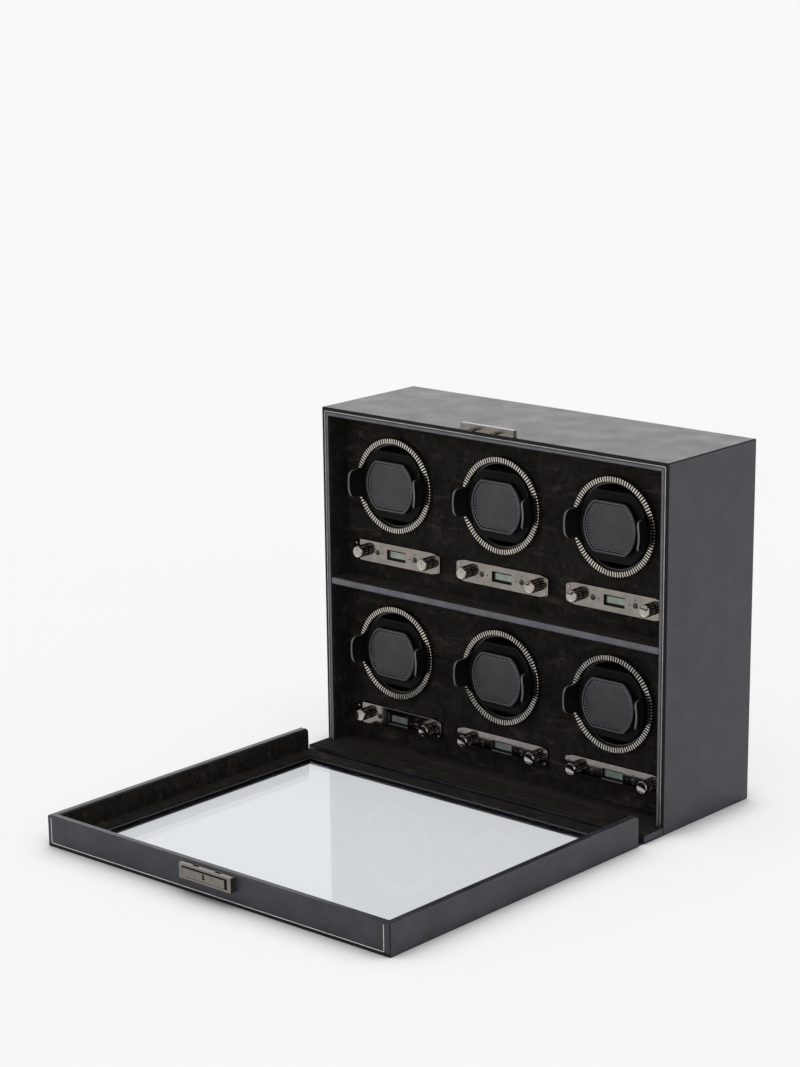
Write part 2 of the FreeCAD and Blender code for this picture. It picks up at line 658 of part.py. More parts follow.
def make_lock_slide():
    """Sliding bolt: a plate in the case's window, a flange behind it and a tongue for each hook."""
    right = "(window_right - slide_travel - slide_gap)"
    plate = box("slide_plate",
                ("-window_left + slide_gap", LOCK_FRONT, "lock_bottom + window_rim + slide_gap"),
                (right, f"{LOCK_FRONT} + slide_thick", f"{LOCK_TOP} - window_rim - slide_top_gap"))
    flange = box("slide_flange",
                 ("-window_left - flange_rim", f"{SLIDE_BACK} - flange_thick",
                  "lock_bottom + window_rim - flange_rim"),
                 (f"{right} + slide_travel", SLIDE_BACK, f"{LOCK_TOP} - window_rim + flange_rim"))
    bore = rod("slide_bore", "cylinder_bore", "-key_offset", LOCK_FRONT, LOCK_MIDDLE,
               "lock_skin + seat_gap + flange_thick")
    tongues = [lock_tongue(side, spot) for side, spot in hook_spots()]
    cut("lock_slide", joined("slide_pieces", [plate, flange] + tongues), [bore])


def lock_tongue(side, spot):
    """The finger that enters a hook's notch when the slide is pushed to the right."""
    start = f"({spot} - hook_width / 2 - hook_play)"
    top = "(lip_reach + fold_gap + felt_thick - notch_start - tongue_play)"
    return box(f"slide_tongue_{side}",
               (f"{start} - tongue_width", SLIDE_BACK, f"{top} - notch_length + 2 * tongue_play"),
               (start, f"{HOOK_FRONT} + hook_thick", top))


def make_cylinder():
    """Key cylinder with its key slit, carried by the bolt."""
    barrel = rod("cylinder_barrel", "cylinder_radius", "-key_offset", LOCK_FRONT, LOCK_MIDDLE,
                 "cylinder_length")
    slit = box("cylinder_slit", ("-key_offset - key_slit / 2", LOCK_FRONT, f"{LOCK_MIDDLE} - key_height / 2"),
               ("-key_offset + key_slit / 2", f"{LOCK_FRONT} + key_depth",
                f"{LOCK_MIDDLE} + key_height / 2"))
    cut("key_cylinder", barrel, [slit])


def make_catch():
    """Metal bar on the cabinet's top front edge with two notched hooks for the lock."""
    half = "catch_width / 2"
    pieces = [box("catch_block", (f"-{half}", RIM, "cabinet_height"),
                  (half, f"{RIM} + catch_depth", "cabinet_height + catch_height"))]
    notches = []
    low = "cabinet_height + hook_lift"
    high = f"{low} + hook_thick"
    for side, spot in hook_spots():
        left = f"{spot} - hook_width / 2"
        pieces.append(box(f"hook_{side}", (left, f"{RIM} - hook_length", low),
                          (f"{spot} + hook_width / 2", RIM, high)))
        notches.append(box(f"hook_notch_{side}", (left, f"{RIM} - notch_start - notch_length", low),
                           (f"{left} + hook_notch", f"{RIM} - notch_start", high)))
    cut("catch_bar", joined("catch_pieces", pieces), notches)


SUBPARTS = ["carcase", "base_board", "base_felt", "divider_shelf", "rear_cover", "bay_linings",
            "module_panels", "bezel_rings", "control_plates", "displays", "module_housings",
            "gear_motors", "control_boards", "catch_bar", "power_inlet", "plate_screws",
            "lid_frame",
            "lid_glass", "glass_bead", "lid_lining", "hinge_strip", "lock_case", "lock_slide",
            "key_cylinder"]
PER_MODULE = ["rotor", "cuff", "turns_knob", "direction_knob", "set_button", "mode_button"]


def check_objects():
    """Stop if any object of the document failed to recompute."""
    for thing in doc.Objects:
        if {"Invalid", "Error"} & set(thing.State):
            raise RuntimeError(f"{thing.Name} failed: {thing.State}")


def export(name):
    """Write one sub-part, once its shape is known to be sound."""
    part = doc.getObject(name)
    part.Label = name
    if part.Shape.isNull() or not part.Shape.isValid() or not part.Shape.Solids:
        raise RuntimeError(f"{name} has no sound solid")
    part.Shape.exportStep(f"parts/{name}.step")
    print(f"{name}: {len(part.Shape.Solids)} solid(s), {part.Shape.Volume / 1000:.2f} cm3")


make_sheet()
for make in (make_carcase, make_base, make_shelf, make_cover, make_linings, make_panels, make_rings,
             make_housings, make_motors, make_rotors, make_cuffs, make_controls, make_knobs,
             make_buttons, make_screws, make_inlet, make_lid_frame, make_glazing, make_lid_lining,
             make_hinge, make_lock_case, make_lock_slide, make_cylinder, make_catch):
    make()
doc.recompute()
check_objects()
os.makedirs("parts", exist_ok=True)
for subpart in SUBPARTS + [f"{kind}_{name}" for kind in PER_MODULE for name, _, _ in modules()]:
    export(subpart)
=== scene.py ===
import json
import math
import bmesh
import bpy
from mathutils import Matrix, Vector

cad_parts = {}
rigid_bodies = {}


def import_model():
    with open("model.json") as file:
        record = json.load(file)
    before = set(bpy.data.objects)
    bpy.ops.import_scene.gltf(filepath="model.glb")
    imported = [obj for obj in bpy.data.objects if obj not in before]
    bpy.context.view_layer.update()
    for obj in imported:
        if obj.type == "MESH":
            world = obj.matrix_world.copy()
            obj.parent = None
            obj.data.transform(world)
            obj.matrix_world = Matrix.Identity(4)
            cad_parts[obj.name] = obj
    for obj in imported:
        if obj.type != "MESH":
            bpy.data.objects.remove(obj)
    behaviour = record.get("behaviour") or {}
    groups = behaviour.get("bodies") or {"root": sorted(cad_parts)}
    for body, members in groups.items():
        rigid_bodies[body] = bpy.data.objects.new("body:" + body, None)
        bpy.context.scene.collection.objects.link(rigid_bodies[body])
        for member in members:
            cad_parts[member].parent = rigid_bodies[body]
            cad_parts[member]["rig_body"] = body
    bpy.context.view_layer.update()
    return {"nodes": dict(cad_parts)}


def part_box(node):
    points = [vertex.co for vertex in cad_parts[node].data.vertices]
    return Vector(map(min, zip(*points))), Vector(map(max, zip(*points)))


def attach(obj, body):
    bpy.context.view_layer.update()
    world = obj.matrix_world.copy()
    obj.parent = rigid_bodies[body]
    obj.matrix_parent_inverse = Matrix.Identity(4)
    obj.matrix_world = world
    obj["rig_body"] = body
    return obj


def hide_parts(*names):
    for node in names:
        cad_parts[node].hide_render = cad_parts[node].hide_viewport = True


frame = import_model()

mm = 0.001
acrossX, alongY, upZ = Vector((1, 0, 0)), Vector((0, 1, 0)), Vector((0, 0, 1))
moduleNames = [f"{row}_{column}" for row in ("upper", "lower") for column in ("left", "middle", "right")]


class Wire:
    # a socket that can be used in sums, and that starts new nodes
    def __init__(self, tree, socket=None):
        self.tree = tree
        self.socket = socket

    def node(self, kind, settings=None, sockets=None, output=0):
        made = self.tree.nodes.new("ShaderNode" + kind)
        for name, value in (settings or {}).items():
            setattr(made, name, value)
        for name, value in (sockets or {}).items():
            if isinstance(value, Wire):
                self.tree.links.new(value.socket, made.inputs[name])
            else:
                made.inputs[name].default_value = value
        return Wire(self.tree, made.outputs[output])

    def maths(self, operation, *values):
        return self.node("Math", {"operation": operation}, dict(enumerate(values)))

    def __add__(self, other):
        return self.maths("ADD", self, other)

    __radd__ = __add__

    def __sub__(self, other):
        return self.maths("SUBTRACT", self, other)

    def __rsub__(self, other):
        return self.maths("SUBTRACT", other, self)

    def __mul__(self, other):
        return self.maths("MULTIPLY", self, other)

    __rmul__ = __mul__

    def __truediv__(self, other):
        return self.maths("DIVIDE", self, other)

    def __pow__(self, other):
        return self.maths("POWER", self, other)

    def larger(self, other):
        return self.maths("MAXIMUM", self, other)

    def smaller(self, other):
        return self.maths("MINIMUM", self, other)

    def ramp(self, low, high):  # 0 below low, 1 above high, smooth between
        return self.node("MapRange", {"interpolation_type": "SMOOTHSTEP"},
                         {"Value": self, "From Min": low, "From Max": high})

    def mix(self, first, second):  # this value blends two colours
        return self.node("Mix", {"data_type": "RGBA"}, {0: self, 6: first, 7: second}, 2)

    def noise(self, size, detail=2, roughness=0.5, distortion=0):
        return self.node("TexNoise", None, {"Vector": self, "Scale": 1 / size, "Detail": detail,
                                            "Roughness": roughness, "Distortion": distortion})

    def cells(self, size, feature="F1"):
        return self.node("TexVoronoi", {"feature": feature}, {"Vector": self, "Scale": 1 / size})

    def stretched(self, x, y, z):  # the same pattern, made longer or shorter along each axis
        return self.node("VectorMath", {"operation": "MULTIPLY"}, {0: self, 1: (x, y, z)})

    def part(self, axis):
        return self.node("SeparateXYZ", None, {0: self}, "XYZ".index(axis))

    def bump(self, depth, strength=1.0):
        return self.node("Bump", None, {"Height": self, "Distance": depth, "Strength": strength})


def shade(red, green, blue):
    # a display colour, 0 to 255, as light
    def light(value):
        value /= 255
        return value / 12.92 if value <= 0.04045 else ((value + 0.055) / 1.055) ** 2.4
    return light(red), light(green), light(blue), 1


def newFinish(name, wires, **fixed):
    # wires(place) gives what varies over the surface; fixed values go on the shader's own sockets
    finish = bpy.data.materials.new(name)
    finish.use_nodes = True
    tree = finish.node_tree
    shader = tree.nodes["Principled BSDF"]
    for socket, value in fixed.items():
        shader.inputs[socket.replace("_", " ")].default_value = value
    place = Wire(tree).node("TexCoord", output="Object")
    for socket, value in wires(place).items():
        tree.links.new(value.socket, shader.inputs[socket.replace("_", " ")])
    return finish


leatherLook = {
    "dark": shade(19, 19, 24), "light": shade(40, 40, 48), "grain": 0.75 * mm, "depth": 0.045 * mm,
    "crease": 6 * mm, "patch": 30 * mm, "rough": 0.34, "roughSpread": 0.26,
}
trimLook = dict(leatherLook, dark=shade(68, 68, 74), light=shade(90, 90, 97), rough=0.5)
# edge paint for cut edges and the rim's outer band; also laid as painted shade on window walls, lock
# insides and other recesses
edgePaintAndShadeLook = dict(leatherLook, dark=shade(7, 7, 8), light=shade(14, 14, 15), rough=0.62, depth=0.02 * mm)
padLook = dict(leatherLook, dark=shade(28, 28, 31), light=shade(44, 44, 48), grain=0.8 * mm,
               depth=0.09 * mm, patch=9 * mm, rough=0.52)
# the pad's border is lighter than its middle: a painted highlight on the rolled border
litBorderLook = dict(padLook, dark=shade(46, 46, 49), light=shade(64, 64, 67))


def leatherFinish(name, look, **fixed):
    def wires(place):
        warp = place.noise(3 * look["grain"], 1)
        pebbles = place.cells(look["grain"], "SMOOTH_F1")
        valleys = 1 - place.cells(look["grain"] * 1.9, "DISTANCE_TO_EDGE").ramp(0, 0.12)
        creases = place.noise(look["crease"], 5, 0.6, 0.6)
        patches = place.noise(look["patch"], 4, 0.55)
        height = 1 - pebbles * (0.7 + warp * 0.6) - valleys * 0.35 + creases * 0.8
        tone = (patches.ramp(0.3, 0.7) * 0.75 + creases.ramp(0.35, 0.7) * 0.35 - valleys * 0.3).larger(0)
        rough = look["rough"] + (patches - 0.5) * look["roughSpread"] + valleys * 0.12
        return {"Base_Color": tone.smaller(1).mix(look["dark"], look["light"]),
                "Roughness": rough, "Normal": height.bump(look["depth"], 0.8)}
    return newFinish(name, wires, **fixed)


suedeLook = {
    "deep": shade(6, 5, 4), "nap": shade(22, 20, 17), "brushed": shade(68, 60, 51), "patch": 24 * mm,
    "fibre": 0.55 * mm, "depth": 0.14 * mm,
}


def suedeFinish(name, look):
    def wires(place):
        strokes = place.noise(look["patch"], 6, 0.68, 1.2)
        long = place.stretched(0.3, 1, 1).noise(look["patch"] * 0.4, 4, 0.6, 0.8)
        tufts = place.stretched(1, 1, 0.5).noise(look["patch"] * 0.16, 3, 0.6)
        fibres = place.noise(look["fibre"], 3, 0.7)
        hairs = place.stretched(1, 0.4, 0.3).noise(look["fibre"] * 0.7, 2)
        body = strokes.ramp(0.36, 0.64).mix(look["deep"], look["nap"])
        lit = (long.ramp(0.5, 0.76) * 0.4 + (tufts - 0.5) * 0.6 + (fibres - 0.5) * 0.8).larger(0).smaller(1)
        colour = lit.mix(body, look["brushed"])
        height = fibres * 0.7 + hairs * 0.5 + strokes * 1.5
        return {"Base_Color": colour, "Roughness": 0.9 + (strokes - 0.5) * 0.15,
                "Normal": height.bump(look["depth"], 0.7)}
    return newFinish(name, wires, Specular_IOR_Level=0.12, Sheen_Weight=0.06, Sheen_Roughness=0.5,
                     Sheen_Tint=shade(150, 138, 125))


nickelLook = {"warm": shade(176, 168, 161), "cool": shade(160, 154, 150), "rough": 0.06,
              "depth": 0.004 * mm}
plateLook = dict(nickelLook, warm=shade(146, 138, 132), cool=shade(130, 124, 119))
ringMetalLook = dict(nickelLook, warm=shade(208, 201, 191), cool=shade(186, 180, 171), rough=0.27)
brushedLook = dict(nickelLook, warm=shade(131, 125, 119), cool=shade(117, 112, 108), rough=0.27,
                   depth=0.03 * mm)
stripeLook = dict(nickelLook, warm=shade(208, 206, 203), cool=shade(190, 188, 186), rough=0.3)
# the cabinet's stripe is a darker copy of the silver stripe: painted shade
rimStripeShadedLook = dict(stripeLook, warm=shade(172, 171, 168), cool=shade(150, 149, 147))
# the catch hooks are a darker copy of the brushed metal, as painted shade under the rim
hookShadedLook = dict(brushedLook, warm=shade(88, 84, 79), cool=shade(74, 71, 67))
# dark floors in the rings' grooves; in the knobs' flute valleys the same finish is painted shade and
# painted dark reflection
grooveAndShadeLook = dict(nickelLook, warm=shade(20, 18, 16), cool=shade(12, 11, 10), rough=0.5)


def metalFinish(name, look, grainAlong=None):
    # grainAlong stretches the fine lines of a brushed face; polished metal has only smudges
    def wires(place):
        smudges = place.noise(9 * mm, 4, 0.6)
        spots = place.noise(0.8 * mm, 2)
        rough = look["rough"] + (smudges.ramp(0.3, 0.75) - 0.3) * 0.06
        height = spots
        if grainAlong:
            lines = place.stretched(*grainAlong).noise(0.35 * mm, 2, 0.6)
            height = lines + spots * 0.2
            rough = rough + (lines - 0.5) * 0.15
        return {"Base_Color": smudges.ramp(0.3, 0.7).mix(look["cool"], look["warm"]),
                "Roughness": rough, "Normal": height.bump(look["depth"], 0.5)}
    return newFinish(name, wires, Metallic=1.0)


def mouldedFinish(name, dark, light, rough, size, depth, **fixed):
    # moulded plastic and thread: a fine even texture and slow changes of tone
    def wires(place):
        sparkle = place.noise(size, 3, 0.6)
        clouds = place.noise(30 * mm, 3)
        return {"Base_Color": clouds.ramp(0.3, 0.7).mix(dark, light),
                "Roughness": rough + (sparkle - 0.5) * 0.12 + (clouds - 0.5) * 0.08,
                "Normal": sparkle.bump(depth, 0.6)}
    return newFinish(name, wires, **fixed)


feltLook = {"dark": shade(18, 18, 19), "light": shade(44, 44, 46), "fibre": 0.9 * mm, "depth": 0.25 * mm}


def feltFinish(name, look):
    def wires(place):
        tangle = place.noise(look["fibre"], 4, 0.75, 2.5)
        lumps = place.noise(12 * mm, 2)
        return {"Base_Color": (tangle * 0.8 + lumps * 0.3).ramp(0.35, 0.8).mix(look["dark"], look["light"]),
                "Roughness": 0.93 + (tangle - 0.5) * 0.1, "Normal": tangle.bump(look["depth"], 0.8)}
    return newFinish(name, wires, Specular_IOR_Level=0.1, Sheen_Weight=0.1)


displayLook = {"top": shade(140, 150, 140), "bottom": shade(112, 122, 111), "cell": 0.32 * mm}


def displayFinish(name, look):
    def wires(place):
        clouds = place.noise(11 * mm, 2)
        cells = place.part("X") / look["cell"]
        grid = cells.maths("FRACT", cells).ramp(0.86, 0.98)
        return {"Base_Color": (clouds.ramp(0.3, 0.75) * 0.8 + grid * 0.2).mix(look["top"], look["bottom"]),
                "Roughness": 0.3 + (clouds - 0.5) * 0.1, "Normal": grid.bump(0.01 * mm, 0.3)}
    return newFinish(name, wires, Metallic=0.6, Coat_Weight=0.4, Coat_Roughness=0.06)


boardLook = {"mask": shade(18, 74, 42), "track": shade(38, 110, 62), "pitch": 1.27 * mm}


def circuitFinish(name, look):
    def wires(place):
        grid = place.cells(look["pitch"] * 2.4, "DISTANCE_TO_EDGE").ramp(0.03, 0.09)
        clouds = place.noise(8 * mm, 2)
        return {"Base_Color": (1 - grid * 0.9).larger(0).mix(look["mask"], look["track"]),
                "Roughness": 0.36 + (clouds - 0.5) * 0.12, "Normal": grid.bump(0.03 * mm, 0.5)}
    return newFinish(name, wires)


glassLook = {"tint": (0.914, 0.928, 0.94, 1), "headOn": 0.016, "grazing": 0.34, "rough": 0.015}


def glassFinish(name, look):
    # clear pane: what is behind shows through, and the mirror image grows towards grazing angles
    finish = bpy.data.materials.new(name)
    finish.use_nodes = True
    tree = finish.node_tree
    tree.nodes.remove(tree.nodes["Principled BSDF"])
    start = Wire(tree)
    place = start.node("TexCoord", output="Object")
    wipes = place.stretched(1, 0.3, 1).noise(60 * mm, 3, 0.6)
    clear = start.node("BsdfTransparent", None, {"Color": look["tint"]})
    mirror = start.node("BsdfGlossy", None, {"Color": (0.96, 0.98, 1, 1),
                                             "Roughness": look["rough"] + (wipes - 0.5) * 0.02})
    facing = start.node("LayerWeight", None, {"Blend": 0.5}, "Facing")
    shine = look["headOn"] + look["grazing"] * facing ** 5
    pane = start.node("MixShader", None, {0: shine, 1: clear, 2: mirror})
    tree.links.new(pane.socket, tree.nodes["Material Output"].inputs["Surface"])
    return finish


finishes = {
    "leather": leatherFinish("blackLeather", leatherLook, Specular_Tint=(0.92, 0.945, 1, 1)),
    "trim": leatherFinish("greyTrimLeather", trimLook),
    "edge": leatherFinish("edgePaintAndShade", edgePaintAndShadeLook, Specular_IOR_Level=0.2),
    "pad": leatherFinish("padLeather", padLook),
    "border": leatherFinish("padBorderPaintedHighlight", litBorderLook),
    "suede": suedeFinish("napSuede", suedeLook),
    "felt": feltFinish("baseFelt", feltLook),
    "nickel": metalFinish("polishedNickel", nickelLook),
    "brushed": metalFinish("brushedNickel", brushedLook, (0.06, 1, 1)),
    "steel": metalFinish("screwSteel", dict(nickelLook, rough=0.2), (1, 0.2, 1)),
    "casing": metalFinish("motorCasing", dict(brushedLook, rough=0.38), (1, 0.1, 1)),
    "plate": metalFinish("polishedPlate", plateLook),
    "ring": metalFinish("ringNickel", ringMetalLook),
    "grip": metalFinish("knobGrip", dict(nickelLook, rough=0.08)),
    "stripe": metalFinish("silverStripe", stripeLook),
    "rimStripe": metalFinish("stripePaintedShade", rimStripeShadedLook),
    "hook": metalFinish("hookPaintedShade", hookShadedLook, (1, 0.1, 1)),
    "groove": metalFinish("darkGrooveAndPaintedShade", grooveAndShadeLook),
    "drum": mouldedFinish("drumGloss", shade(9, 9, 9), shade(20, 18, 16), 0.16, 1.5 * mm, 0.01 * mm),
    # the cuff body's black is darkened further as painted shade inside the drum; the pad's sides and groove
    # use it as painted shade too
    "cuff": mouldedFinish("cuffBlackAndPaintedShade", shade(4, 4, 4), shade(9, 9, 9), 0.6, 0.5 * mm, 0.015 * mm,
                          Specular_IOR_Level=0.1),
    # a painted highlight along the tips of the cuff's grips
    "earHighlight": mouldedFinish("earGripPaintedHighlight", shade(66, 66, 68), shade(86, 86, 88), 0.35, 0.5 * mm,
                              0.01 * mm),
    "housing": mouldedFinish("housingBlack", shade(20, 20, 21), shade(32, 32, 33), 0.5, 0.6 * mm,
                             0.03 * mm),
    "button": mouldedFinish("buttonBlack", shade(12, 12, 12), shade(22, 21, 21), 0.22, 0.5 * mm,
                            0.01 * mm),
    "thread": mouldedFinish("padThread", shade(112, 112, 116), shade(138, 138, 142), 0.7, 0.2 * mm,
                            0.04 * mm),
    "display": displayFinish("liquidCrystal", displayLook),
    "circuit": circuitFinish("circuitBoard", boardLook),
    "glass": glassFinish("clearPane", glassLook),
}
print("finishes ready")


def middle(node):
    low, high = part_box(node)
    return (low + high) / 2


def closeFace(work, corners, finish=0):
    face = work.faces.new(corners)
    face.material_index = finish
    return face


def fromNode(node):
    # the CAD shape as clean faces, without the triangles that only divide a flat face
    work = bmesh.new()
    work.from_mesh(frame["nodes"][node].data)
    bmesh.ops.remove_doubles(work, verts=work.verts, dist=1e-6)
    bmesh.ops.dissolve_limit(work, angle_limit=math.radians(0.4), verts=work.verts, edges=work.edges)
    for face in work.faces:
        face.material_index = 0
    return work


def roundEdges(work, radius, steps=2, finish=-1, chosen=None, sharp=32):
    edges = [edge for edge in work.edges if len(edge.link_faces) == 2
             and edge.calc_face_angle() > math.radians(sharp) and (chosen is None or chosen(edge))]
    bmesh.ops.bevel(work, geom=edges, offset=radius, segments=steps, profile=0.5, affect="EDGES",
                    clamp_overlap=False, material=finish)


def sliceAt(work, point, normal):
    bmesh.ops.bisect_plane(work, geom=work.verts[:] + work.edges[:] + work.faces[:], dist=1e-7,
                           plane_co=point, plane_no=normal)


def toMesh(name, work, smoothTo=35):
    bmesh.ops.recalc_face_normals(work, faces=work.faces)
    for face in work.faces:
        face.smooth = True
    mesh = bpy.data.meshes.new(name)
    work.to_mesh(mesh)
    work.free()
    mesh.set_sharp_from_angle(angle=math.radians(smoothTo))
    return mesh


def addPiece(name, mesh, looks, body, replaced=(), place=(0, 0, 0)):
    piece = bpy.data.objects.new(name, mesh)
    bpy.context.scene.collection.objects.link(piece)
    if not mesh.materials:
        for look in looks:
            mesh.materials.append(finishes[look])
    piece.location = place
    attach(piece, body)
    if replaced:
        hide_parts(*replaced)
    return piece


def evenShading(piece):
    piece.modifiers.new("evenShading", "WEIGHTED_NORMAL").keep_sharp = True


def sweep(work, section, path, up, finish=0):
    # section is (across, height) pairs, path is an open run of points in a plane whose normal is up
    loops = []
    for index, point in enumerate(path):
        runs = []
        if index:
            runs.append((point - path[index - 1]).normalized())
        if index < len(path) - 1:
            runs.append((path[index + 1] - point).normalized())
        along = sum(runs, Vector()).normalized()
        across = along.cross(up)
        stretch = 1 / max(0.4, along.dot(runs[0]))
        loops.append([work.verts.new(point + across * (a * stretch) + up * h) for a, h in section])
    bridge(work, loops, finish=finish)
    closeFace(work, loops[0], finish)
    closeFace(work, loops[-1], finish)


def bridge(work, loops, closed=False, finish=0):
    # finish is one number, or a function of the loop's number
    pairs = list(zip(loops, loops[1:])) + ([(loops[-1], loops[0])] if closed else [])
    for number, (first, second) in enumerate(pairs):
        which = finish(number) if callable(finish) else finish
        for index in range(len(first)):
            after = (index + 1) % len(first)
            closeFace(work, (first[index], first[after], second[after], second[index]), which)


def roundedCorners(points, radius, steps=5):
    # an open path whose inner corners are arcs
    path = [points[0]]
    for before, corner, after in zip(points, points[1:], points[2:]):
        start = corner + (before - corner).normalized() * radius
        end = corner + (after - corner).normalized() * radius
        for step in range(steps + 1):
            part = step / steps
            path.append(start.lerp(corner, part).lerp(corner.lerp(end, part), part))
    return path + [points[-1]]


def turned(work, profile, steps, finish=0, centre=(0, 0), shape=None):
    # profile is (radius, y) pairs about an axis along Y; shape may move the radius of a row round the turn
    rows = []
    for row, (radius, y) in enumerate(profile):
        if radius < 1e-7:
            rows.append([work.verts.new((centre[0], y, centre[1]))])
            continue
        spots = []
        for step in range(steps):
            angle = 2 * math.pi * step / steps
            reach = radius + (shape(row, angle) if shape else 0)
            spots.append(work.verts.new((centre[0] + reach * math.cos(angle), y,
                                         centre[1] + reach * math.sin(angle))))
        rows.append(spots)
    for first, second in zip(rows, rows[1:]):
        for step in range(steps):
            after = (step + 1) % steps
            corners = [first[step % len(first)], first[after % len(first)],
                       second[after % len(second)], second[step % len(second)]]
            closeFace(work, list(dict.fromkeys(corners)), finish)


def flatDisc(radius, half, corner, arcSteps=22, cornerSteps=6, flatSteps=14):
    # the outline of a disc cut flat above and below, with rounded corners, as (x, z) pairs
    reach = math.sqrt((radius - corner) ** 2 - (half - corner) ** 2)
    slope = math.atan2(half - corner, reach)
    quarter = []
    for step in range(arcSteps // 2):
        angle = slope * step / (arcSteps // 2)
        quarter.append((radius * math.cos(angle), radius * math.sin(angle)))
    for step in range(cornerSteps):
        angle = slope + (math.pi / 2 - slope) * step / cornerSteps
        quarter.append((reach + corner * math.cos(angle), half - corner + corner * math.sin(angle)))
    for step in range(flatSteps // 2):
        quarter.append((reach * (1 - 2 * step / flatSteps), half))
    top = quarter + [(0, half)] + [(-x, z) for x, z in reversed(quarter[1:])]
    return top + [(-x, -z) for x, z in top]


def lofted(work, sections, finishOf):
    # sections is (outline, y) pairs; every outline has as many points as the next
    loops = [[work.verts.new((x, y, z)) for x, z in outline] for outline, y in sections]
    bridge(work, loops, finish=finishOf)
    closeFace(work, loops[0], finishOf(0))
    closeFace(work, loops[-1], finishOf(len(sections) - 2))


# one stitch: how far along, how thick there, and how high above the leather
threadShape = ((0, 0.4, -0.7), (0.2, 0.9, 0.1), (0.5, 1, 0.35), (0.8, 0.9, 0.1), (1, 0.4, -0.7))


def stitches(work, outline, y, length, gap, thick):
    # short threads in a row along a closed outline, each dipping into the leather at its ends
    points = [Vector((x, y, z)) for x, z in outline]
    points.append(points[0])
    runs = [(b - a).length for a, b in zip(points, points[1:])]
    count = round(sum(runs) / (length + gap))
    pitch = sum(runs) / count
    for number in range(count):
        loops = []
        for part, size, lift in threadShape:
            spot, along = walk(points, runs, number * pitch + part * length)
            across = along.cross(alongY)
            centre = spot - alongY * (lift * thick)
            loops.append([work.verts.new(centre + across * (size * thick * math.cos(turn))
                                         - alongY * (size * thick * math.sin(turn)))
                          for turn in (math.pi * side / 3 for side in range(6))])
        bridge(work, loops)
        closeFace(work, loops[0])
        closeFace(work, loops[-1])


def walk(points, runs, distance):
    for start, end, run in zip(points, points[1:], runs):
        if distance <= run:
            return start.lerp(end, distance / run), (end - start).normalized()
        distance -= run
    return points[-1].copy(), (points[-1] - points[-2]).normalized()


# the cabinet: leather shell, base, shelf and rear
carcaseLook = {
    "edge": 1.1 * mm, "darkBand": 3.1 * mm, "stripe": 3.75 * mm, "stripeWidth": 0.9 * mm,
    "stripeProud": 0.22 * mm, "bead": 6.8 * mm, "beadWidth": 2.4 * mm, "beadProud": 0.28 * mm,
    "stripeCorner": 2 * mm, "beadCorner": 1.2 * mm,
}


def makeCarcase(look):
    low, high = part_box("carcase")
    work = fromNode("carcase")
    for x in (low.x + look["darkBand"], high.x - look["darkBand"]):
        sliceAt(work, (x, 0, 0), acrossX)
    sliceAt(work, (0, 0, high.z - look["darkBand"]), upZ)
    roundEdges(work, look["edge"], 3, 1)
    for face in work.faces:
        spot = face.calc_center_median()
        outer = min(high.x - abs(spot.x), high.z - spot.z) < look["darkBand"]
        if spot.y < low.y + 0.01 * mm and outer:
            face.material_index = 1
    evenShading(addPiece("leatherShell", toMesh("leatherShell", work), ("leather", "edge"), "cabinet",
                         ["carcase"]))


def rimPath(inset, floor):
    low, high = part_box("carcase")
    left, right, top = low.x + inset, high.x - inset, high.z - inset
    return [Vector(spot) for spot in ((left, low.y, floor), (left, low.y, top), (right, low.y, top),
                                      (right, low.y, floor))]


def domedSection(width, height):
    half = width / 2
    return [(-half, 0), (-half * 0.8, height * 0.65), (-half * 0.35, height), (half * 0.35, height),
            (half * 0.8, height * 0.65), (half, 0), (half * 0.6, -0.3 * mm), (-half * 0.6, -0.3 * mm)]


def makeRim(look):
    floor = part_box("bay_linings")[0].z + 1 * mm
    for name, part, finish, slot in (("rimStripe", "stripe", "rimStripe", "nickel"),
                                     ("rimBead", "bead", "trim", "leather")):
        work = bmesh.new()
        path = roundedCorners(rimPath(look[part], floor), look[part + "Corner"])
        sweep(work, domedSection(look[part + "Width"], look[part + "Proud"]), path, -alongY)
        addPiece(name, toMesh(name, work, 60), (finish,), "cabinet")


def softened(node, name, radius, looks, steps=2, finishOf=None):
    work = fromNode(node)
    roundEdges(work, radius, steps)
    if finishOf:
        for face in work.faces:
            face.material_index = finishOf(face)
    evenShading(addPiece(name, toMesh(name, work), looks, frame["nodes"][node]["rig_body"], [node]))


makeCarcase(carcaseLook)
makeRim(carcaseLook)
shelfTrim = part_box("divider_shelf")[0].y + 1.5 * mm  # the trim covers the front this far back
softened("divider_shelf", "shelf", 1.3 * mm, ("leather", "trim"), 3,
         lambda face: int(face.calc_center_median().y < shelfTrim))
softened("base_board", "baseBoard", 0.5 * mm, ("leather",))
softened("base_felt", "feltBase", 0.3 * mm, ("felt",))
softened("rear_cover", "rearCover", 0.8 * mm, ("leather",))
softened("bay_linings", "bayLining", 0.3 * mm, ("suede",))
softened("module_panels", "modulePanels", 0.7 * mm, ("suede",), 3)
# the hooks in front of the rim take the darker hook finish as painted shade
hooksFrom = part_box("carcase")[0].y - 0.2 * mm
softened("catch_bar", "catchBar", 0.35 * mm, ("brushed", "hook"), 2,
         lambda face: int(face.calc_center_median().y < hooksFrom))
softened("power_inlet", "powerInlet", 0.3 * mm, ("housing",))
print("cabinet shell ready")

foldLook = {"ribs": 4, "frontGap": 1 * mm, "fullness": 0.94, "proud": 0.28 * mm, "endGap": 1.5 * mm,
            "liningThick": 1 * mm}


